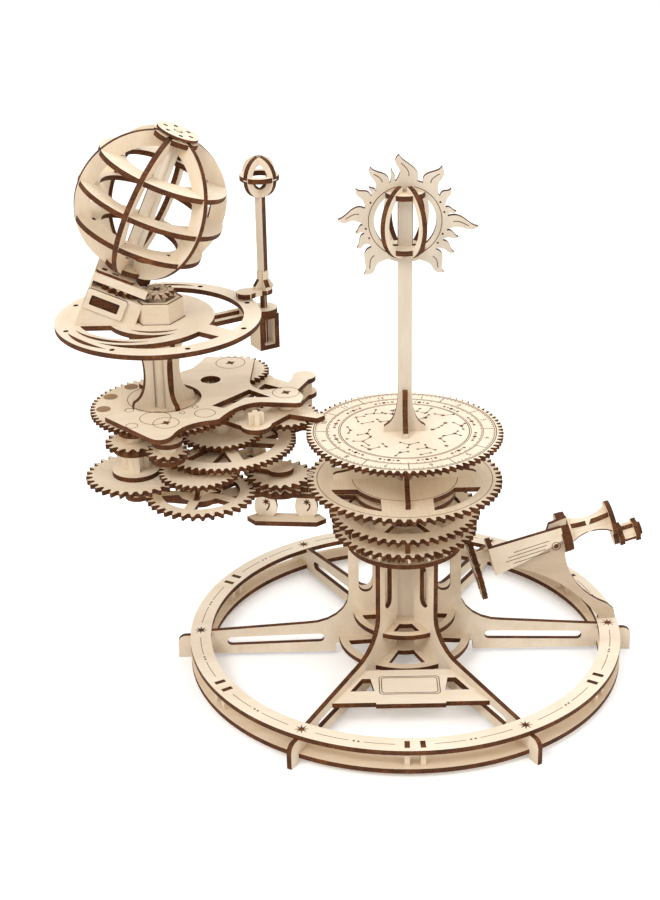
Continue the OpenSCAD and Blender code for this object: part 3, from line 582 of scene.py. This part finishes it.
def cut_sheet(name, body, outlines, thick, place, tone="birch", direction="x"):
    """A flat piece cut from sheet: the first outline is its edge and the others are holes, in millimetres.
    place takes its middle plane to the row frame, also in millimetres."""
    curve = bpy.data.curves.new(name, "CURVE")
    curve.dimensions, curve.fill_mode, curve.extrude = "2D", "BOTH", thick / 2
    for outline in outlines:
        edge = curve.splines.new("POLY")
        edge.points.add(len(outline) - 1)
        for point, (x, y) in zip(edge.points, outline):
            point.co = (x, y, 0, 1)
        edge.use_cyclic_u = True
    holder = bpy.data.objects.new(name, curve)
    bpy.context.scene.collection.objects.link(holder)
    bpy.context.view_layer.update()
    mesh = bpy.data.meshes.new_from_object(holder)
    bpy.data.objects.remove(holder)
    mesh.name = name
    shell = bmesh.new()
    shell.from_mesh(mesh)
    bmesh.ops.remove_doubles(shell, verts=shell.verts, dist=1e-4)
    bmesh.ops.transform(shell, matrix=Matrix.Scale(MM, 4) @ place, verts=shell.verts)
    bmesh.ops.recalc_face_normals(shell, faces=shell.faces)
    shell.to_mesh(mesh)
    shell.free()
    mesh.materials.clear()
    mesh.materials.append(ply("ply_" + name, tone, direction))
    mesh.materials.append(char)
    out = place.to_3x3() @ Vector((0, 0, 1))
    for p in mesh.polygons:
        p.material_index = 0 if abs(p.normal.dot(out)) > 0.9 else 1
        p.use_smooth = False
    obj = bpy.data.objects.new(name, mesh)
    bpy.context.scene.collection.objects.link(obj)
    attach(obj, body)
    return obj


# Flames of the Sun, counter-clockwise: angle and half width of the foot, angle and reach of the tip
FLAMES = ((-57, 13, -52, 37), (-35, 6.5, -33, 33), (-20, 6, -17, 31), (-3, 9, -4, 40.5),
          (13, 5.5, 11, 28.5), (29, 7.5, 37, 31), (53, 13, 59, 36.5), (88, 14, 93, 37.5),
          (107, 3.5, 103, 30.5), (122, 10.5, 120, 36), (137, 4, 134, 28), (150, 8, 144, 33),
          (172, 11, 176, 37), (190, 5.5, 192, 28), (205, 8, 208, 30.5), (232, 14, 231, 38))
FLAME_SWAY, WIDE_FLAME = 3.4, 13  # sway in degrees of a flame with that half width
SUN_AT = (0, 0, 277)
SUN_BODY, SUN_HOLE = 23.5, 17.2  # radii
POST_HALF, SUN_NOTCH = 4.03, -19.97  # half width of the Sun's post, and where the notch for it ends
SUN_RING, SUN_RING_SPAN, FLAME_LINE, FLAME_DOT = 20.2, 152, 0.45, 0.6  # marks; the span is in degrees


def flame_edge(base, half, tip, reach, side, steps=16):
    """One edge of a flame from foot to tip; side is -1 for the right edge and 1 for the left."""
    sway = (-FLAME_SWAY if math.cos(math.radians(tip)) > 0.1 else FLAME_SWAY) * half / WIDE_FLAME
    points = []
    for i in range(steps + 1):
        t = i / steps
        angle = base + (tip - base) * t - sway * math.sin(1.8 * math.pi * t) + side * half * (1 - t) ** 0.9
        points.append(around(angle, SUN_BODY + (reach - SUN_BODY) * t))
    return points


def make_sun():
    """The Sun's plate of flames, notched for its post, and the lines on it."""
    outline = []
    for flame in FLAMES:
        outline += flame_edge(*flame, -1) + flame_edge(*flame, 1)[-2::-1]
    low = -math.sqrt(SUN_BODY ** 2 - POST_HALF ** 2)
    outline += circle((0, 0), SUN_BODY, 248, 258, 4)
    outline += [(-POST_HALF, low), (-POST_HALF, SUN_NOTCH), (POST_HALF, SUN_NOTCH), (POST_HALF, low)]
    outline += circle((0, 0), SUN_BODY, 282, 288, 4)
    lean = math.degrees(math.asin(POST_HALF / SUN_HOLE))
    holes = [circle((0, 0), SUN_HOLE, start + lean, start + 180 - lean, 32) for start in (90, -90)]
    # The flames take soft, the pale veneer darkened with painted shade on their upright face
    plate = cut_sheet("sun_flames", "base", [outline] + holes, SHEET, Matrix.Translation(SUN_AT) @ QUARTER_X,
                      "soft", "z")
    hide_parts("sun_rays")
    e = Engraving()
    for flame in FLAMES:
        middle = [(Vector(p) + Vector(q)) / 2 for p, q in zip(flame_edge(*flame, -1), flame_edge(*flame, 1))]
        half = flame[1]
        if half > 8:
            e.path(middle[3:12], [FLAME_LINE] * 9)
        elif half > 5:
            e.dot(middle[0] * 0.94, FLAME_DOT)
    for side, centre in ((-1, 180), (1, 0)):
        e.ring((0, 0), SUN_RING, FIRM, centre - SUN_RING_SPAN / 2, centre + SUN_RING_SPAN / 2)
        e.line((side * POST_HALF, -SUN_NOTCH - 3.4), (side * POST_HALF, SUN_NOTCH + 3))
    front = Matrix.Translation((SUN_AT[0], SUN_AT[1] - SHEET / 2, SUN_AT[2]))
    e.lay("sun_marks", "base", front @ QUARTER_X)


def globe_frame():
    """Takes the globe's own axes, its tilted axle along z, to the row frame in millimetres."""
    return Matrix.Translation(Vector(joint_named("globe_turn")["pos_m"]) / MM) @ Matrix.Rotation(TILT, 4, "Y")


# Slots of the ring plate under the globe: x of the arc's middle, radius, start and end angle, greatest width
PLATE_SLOTS = ((0, 54.5, 206, 243, 3.2), (0, 54.5, 71, 108, 3.0), (-11, 39.3, 210, 282, 2.9),
               (0, 24.5, 236, 302, 2.4))
SLOT_STEPS = 18
# Six-sided lines round the gear box and on its lid: radius and width
BOX_FOOT, BOX_LID = (15.4, 0.9), (14.2, 1.0)


def engrave_orbit_plate():
    """The long tapering slots of the ring plate under the globe, as dark marks that paint the shade through them
    and their charred walls, and the gear box's lines.
    """
    middle = joint_at("earth_frame_turn")
    e = Engraving()
    # The slots are not cut: charred strips paint the shade seen through them, with their charred walls
    for x, r, start, end, widest in PLATE_SLOTS:
        widths = [widest * math.sin(math.pi * (k + 0.3) / (SLOT_STEPS + 0.6)) for k in range(SLOT_STEPS + 1)]
        e.path(circle((x, 0), r, start, end, SLOT_STEPS), widths)
    e.hexagon(*BOX_FOOT)
    e.lay("orbit_plate_marks_and_slot_shade", "earth_frame", level("orbit_plate", *middle))
    e = Engraving()
    e.hexagon(*BOX_LID)
    e.lay("gear_box_marks", "earth_frame", level("gear_box", *middle))


# On the globe's axes: the cap on its upper pole and its slots, and the blade inside
CAP_R, CAP_HOLE, CAP_THICK, CAP_Z = 12.2, 2.6, 1.5, 43.45
CAP_SLOT, CAP_SLOT_TURN = ((6.6, -1.2), (9.2, 1.2), 0.4), 45  # the turn is in degrees
BLADE_HALF, BLADE_REACH, BLADE_THICK = 4.6, 38.2, 2
BLADE_TURN = math.radians(13)
# On the same axes, the tilted block's plates: boxes with the radius of their corners, thickness and place
FRONT_BOX, FRONT_WINDOW = ((-15.6, -68), (7.5, -55.6), 1.2), ((-12.8, -65), (4, -59), 0.8)
# The last number is where a dark sheet of painted shade lies, just behind the front plate's window
FRONT_THICK, FRONT_Y, WINDOW_SHADE_Y = 1.4, -12.7, -12.02
TOP_BOX, TOP_HOLE, TOP_THICK, TOP_Z = ((-15.4, -11.4), (7, 11.4), 2), 3.2, 1.6, -45.15
TOP_WINDOWS = (((-12.6, -8.6), (-9.6, -5), 0.5), ((-12.6, 5), (-9.6, 8.6), 0.5),
               ((-6.5, -9.6), (-2.5, -7.6), 0.5))
SPIN_STAR, SPIN_RING = 4.6, 6.2


def make_globe_trim():
    """The slotted disc on the globe's upper pole, the blade in it, the plates of the tilted block, and a dark
    sheet of painted shade behind the block's window.
    """
    tilted = globe_frame()
    slots = []
    for i in range(6):
        turn = Matrix.Rotation(math.radians(60 * i + CAP_SLOT_TURN), 2)
        slots.append([tuple(turn @ Vector(p)) for p in round_box(*CAP_SLOT)])
    cut_sheet("pole_cap", "globe", [circle((0, 0), CAP_R), circle((0, 0), CAP_HOLE, sides=20)] + slots,
              CAP_THICK, tilted @ Matrix.Translation((0, 0, CAP_Z)), "pale", "x")
    cut_sheet("globe_blade", "globe", [plain_box((-BLADE_HALF, -BLADE_REACH), (BLADE_HALF, BLADE_REACH))],
              BLADE_THICK, tilted @ Matrix.Rotation(BLADE_TURN, 4, "Z") @ QUARTER_X, "pale", "z")
    window = round_box(*FRONT_WINDOW)
    cut_sheet("block_front", "earth_frame", [round_box(*FRONT_BOX), window], FRONT_THICK,
              tilted @ Matrix.Translation((0, FRONT_Y, 0)) @ QUARTER_X, "birch", "x")
    # A dark sheet in the charred colour fills the window: painted shade inside the block
    e = Engraving()
    e.shape(window)
    e.lay("block_window_shade", "earth_frame", tilted @ Matrix.Translation((0, WINDOW_SHADE_Y, 0)) @ QUARTER_X)
    holes = [circle((0, 0), TOP_HOLE, sides=20)] + [round_box(*box) for box in TOP_WINDOWS]
    cut_sheet("block_top", "earth_frame", [round_box(*TOP_BOX)] + holes, TOP_THICK,
              tilted @ Matrix.Translation((0, 0, TOP_Z)), "birch", "y")
    e = Engraving()
    e.star((0, 0), SPIN_STAR, 6, 0.42)
    e.ring((0, 0), SPIN_RING)
    e.lay("spin_gear_marks", "spin", level("spin_shaft", *joint_at("spin_turn")))


# The front shelf: distances of its edges from the middle, its top, the lip, and what a leg takes at each side
SHELF_NEAR, SHELF_FAR, SHELF_TOP = 81, 47, 16.5
LIP_HALF, LIP_DEPTH, LEG_GAP = 20, 1.6, 1.76
SHELF_WINDOW = ((22.5, -56), (27.5, -56), (34.5, -69), (20.5, -69))
BORDER_HALF, BORDER_FRONT, BORDER_BACK, BORDER_R, BORDER_INSET = 17.5, -72.5, -54, 2, 1.3


def make_front_shelf():
    """The bare plate between the two front legs, with a plain engraved border."""
    near, far = (d * math.tan(math.radians(30)) - LEG_GAP for d in (SHELF_NEAR, SHELF_FAR))
    lip = SHELF_NEAR + LIP_DEPTH
    edge = [(-near, -SHELF_NEAR), (-LIP_HALF, -SHELF_NEAR), (-LIP_HALF, -lip), (LIP_HALF, -lip),
            (LIP_HALF, -SHELF_NEAR), (near, -SHELF_NEAR), (far, -SHELF_FAR), (-far, -SHELF_FAR)]
    windows = [[(side * x, y) for x, y in SHELF_WINDOW] for side in (-1, 1)]
    shelf = cut_sheet("front_shelf", "base", [edge] + windows, SHEET,
                      Matrix.Translation((0, 0, SHELF_TOP - SHEET / 2)), "pale", "x")
    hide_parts("front_panel")
    e = Engraving()
    for inset in (0, BORDER_INSET):
        border = round_box((-BORDER_HALF + inset, BORDER_FRONT + inset),
                           (BORDER_HALF - inset, BORDER_BACK - inset), BORDER_R)
        e.path(border, [BOLD] * len(border), True)
    e.lay("front_shelf_border", "base", Matrix.Translation((0, 0, SHELF_TOP)))


# Name, CAD node, radius, underside, radii of the windows' inner and outer edge, half their spread in degrees
COLUMN_SHEETS = (("column_sheet", "column_plate", 31, 27, 17.5, 26.5, 17),
                 ("floor_sheet", "floor_plate", 40, 10, 20, 35, 18))
LEG_SLOT, HUB = 1.52, 12.9  # half width of a leg's slot and radius of its inner end
POST_HOLE = 8.02


def make_column_sheets():
    """The two round plates on the legs, slotted for them, with a window in each of the six fields."""
    for name, cad_node, r, low, near, far, spread in COLUMN_SHEETS:
        lean = math.degrees(math.asin(LEG_SLOT / r))
        edge, windows = [], []
        for i in range(6):
            turn = Matrix.Rotation(math.radians(60 * i), 2)
            edge += [tuple(turn @ Vector((HUB, k * LEG_SLOT))) for k in (-1, 1)]
            edge += circle((0, 0), r, 60 * i + lean, 60 * i + 60 - lean, 16)
            middle = 60 * i + 30
            windows.append(circle((0, 0), far, middle - spread, middle + spread, 8)
                           + circle((0, 0), near, middle + spread * 0.72, middle - spread * 0.72, 8))
        sheet = cut_sheet(name, "base", [edge, circle((0, 0), POST_HOLE)] + windows, SHEET,
                          Matrix.Translation((0, 0, low + SHEET / 2)), "warm", "x")
        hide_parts(cad_node)


# Along the crank's shaft: the bearing's collar, and the lines and pin on the face of the cheek
COLLAR_R, COLLAR_HOLE, COLLAR_THICK, COLLAR_AT = 12.2, 4.6, 4.2, 56.4
CHEEK_FACE, CHEEK_LINES = -11, ((22, 45), (18, 43), (20, 44), (24, 46))
LINES_LOW, LINES_STEP, LINES_RISE = -4.4, 2.4, 0.5
PIN_AT, PIN_R, PIN_RING = (49.5, -1.6), 1.5, 2.6


def make_crank_trim():
    """The round collar of the crank's bearing, and the lines and pin on the cheek."""
    crank = joint_named("crank_turn")
    along = Vector(crank["axis"]).normalized()
    side = Vector((0, 0, 1)).cross(along).normalized()
    axes = Matrix((along, side, along.cross(side))).transposed().to_4x4()
    shaft = Matrix.Translation(Vector(crank["pos_m"]) / MM) @ axes
    cut_sheet("bearing_collar", "base", [circle((0, 0), COLLAR_R), circle((0, 0), COLLAR_HOLE, sides=32)],
              COLLAR_THICK, shaft @ Matrix.Translation((COLLAR_AT, 0, 0)) @ QUARTER_Y, "birch", "z")
    e = Engraving()
    for k, (start, end) in enumerate(CHEEK_LINES):
        height = LINES_LOW + LINES_STEP * k
        e.line((start, height), (end, height + LINES_RISE), FIRM)
    e.dot(PIN_AT, PIN_R, 20)
    e.ring(PIN_AT, PIN_RING, FIRM)
    e.lay("cheek_marks", "base", shaft @ Matrix.Translation((0, CHEEK_FACE, 0)) @ QUARTER_X)


MOON_POST_HALF, MOON_POST_THICK, MOON_POST_LOW, MOON_POST_TOP = 2.3, 4.3, 229.5, 275.4
MOON_POST_TURN = math.radians(-28)


def make_moon_post():
    """The square upright of the Moon, with charred sides."""
    low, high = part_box("moon_ball")
    x, y = ((low[i] + high[i]) / 2 / MM for i in (0, 1))
    turned = Matrix.Translation((x, y, 0)) @ Matrix.Rotation(MOON_POST_TURN, 4, "Z")
    side = plain_box((-MOON_POST_HALF, MOON_POST_LOW), (MOON_POST_HALF, MOON_POST_TOP))
    cut_sheet("moon_upright", "moon", [side], MOON_POST_THICK, turned @ QUARTER_X, "pale", "z")


# The hanger, along the arm and across it: its bar, the places of its uprights, and half of an upright's edge
BAR, BAR_Z = ((50, 8.5), (86, 11), (92, 16.5), (86, 22), (50, 19.5), (45, 14)), 95.5
LOBES_AT, LOBES_Z = ((81, 13.2), (57, 11.2)), 103.25
LOBE_HALF = ((4.2, -6.2), (6.2, -4), (6.8, -0.5), (6.4, 3), (5, 6.2))


def make_hanger():
    """The small bar under the arm with its two lobed uprights, each marked with a star and an arc."""
    arm = Matrix.Rotation(ARM_AZ, 4, "Z")
    cut_sheet("hanger_bar", "carriage", [BAR], SHEET, arm @ Matrix.Translation((0, 0, BAR_Z)), "birch", "x")
    shield = LOBE_HALF + tuple((-x, y) for x, y in LOBE_HALF[::-1])
    for i, (x, y) in enumerate(LOBES_AT, 1):
        place = arm @ Matrix.Translation((x, y, LOBES_Z)) @ Matrix.Rotation(math.pi, 4, "Z") @ QUARTER_X
        cut_sheet("hanger_upright_%d" % i, "carriage", [shield], SHEET, place, "pale", "z")
        e = Engraving()
        e.star((0.4, 3.2), 2.6, 7, 0.42)
        e.ring((-3, 1.5), 5.2, 0.9, -50, 10)
        e.lay("hanger_marks_%d" % i, "carriage", place @ Matrix.Translation((0, 0, SHEET / 2)))


engrave_dial()
engrave_ring()
engrave_train()
make_sun()
make_globe_trim()
engrave_orbit_plate()
make_front_shelf()
make_column_sheets()
make_crank_trim()
make_moon_post()
make_hanger()


# Studio

WHITE = (1, 1, 1, 1)
SOFT_LIGHT, FLOOR_GLOW = 0.72, 0.22
FLOOR_HALF, FLOOR_BELOW = 6, 0.0002  # metres
# Name, place and size in metres, and power in watts
LAMPS = (("key", (-0.9, -1.1, 1.5), 0.7, 15), ("fill", (1.2, -0.9, 1.1), 1.0, 6),
         ("top", (0.1, 0.5, 1.8), 1.2, 12))
LAMPS_AIM = (0, 0, 0.12)  # metres


def studio():
    """White surroundings, a paper floor and three lamps."""
    world = bpy.data.worlds.new("studio")
    bpy.context.scene.world = world
    world.use_nodes = True
    tree = world.node_tree
    light = tree.nodes["Background"]
    light.inputs[0].default_value = WHITE
    light.inputs[1].default_value = SOFT_LIGHT
    backdrop = node(tree, "ShaderNodeBackground")
    backdrop.inputs[0].default_value = WHITE
    backdrop.inputs[1].default_value = 1.0
    seen = node(tree, "ShaderNodeLightPath")
    pick = node(tree, "ShaderNodeMixShader")
    tree.links.new(seen.outputs["Is Camera Ray"], pick.inputs[0])
    tree.links.new(light.outputs[0], pick.inputs[1])
    tree.links.new(backdrop.outputs[0], pick.inputs[2])
    tree.links.new(pick.outputs[0], tree.nodes["World Output"].inputs[0])

    mesh = bpy.data.meshes.new("floor")
    corners = plain_box((-FLOOR_HALF, -FLOOR_HALF), (FLOOR_HALF, FLOOR_HALF))
    mesh.from_pydata([(x, y, 0) for x, y in corners], [], [(0, 1, 2, 3)])
    floor = bpy.data.objects.new("floor", mesh)
    floor.location.z = -FLOOR_BELOW
    bpy.context.scene.collection.objects.link(floor)
    paper = bpy.data.materials.new("floor_paper")
    paper.use_nodes = True
    tree = paper.node_tree
    bsdf = next(n for n in tree.nodes if n.type == "BSDF_PRINCIPLED")
    bsdf.inputs["Base Color"].default_value = (0.93, 0.93, 0.93, 1)
    bsdf.inputs["Roughness"].default_value = 0.9
    bsdf.inputs["Emission Color"].default_value = WHITE
    seen = node(tree, "ShaderNodeLightPath")
    glow = math_node(tree, "MULTIPLY", seen.outputs["Is Camera Ray"], FLOOR_GLOW)
    tree.links.new(glow, bsdf.inputs["Emission Strength"])
    mesh.materials.append(paper)

    for name, at, size, power in LAMPS:
        data = bpy.data.lights.new(name, "AREA")
        data.energy, data.size = power, size
        lamp = bpy.data.objects.new(name, data)
        lamp.location = at
        lamp.rotation_euler = (Vector(LAMPS_AIM) - Vector(at)).to_track_quat("-Z", "Y").to_euler()
        bpy.context.scene.collection.objects.link(lamp)
    bpy.context.scene.view_settings.view_transform = "Standard"


studio()
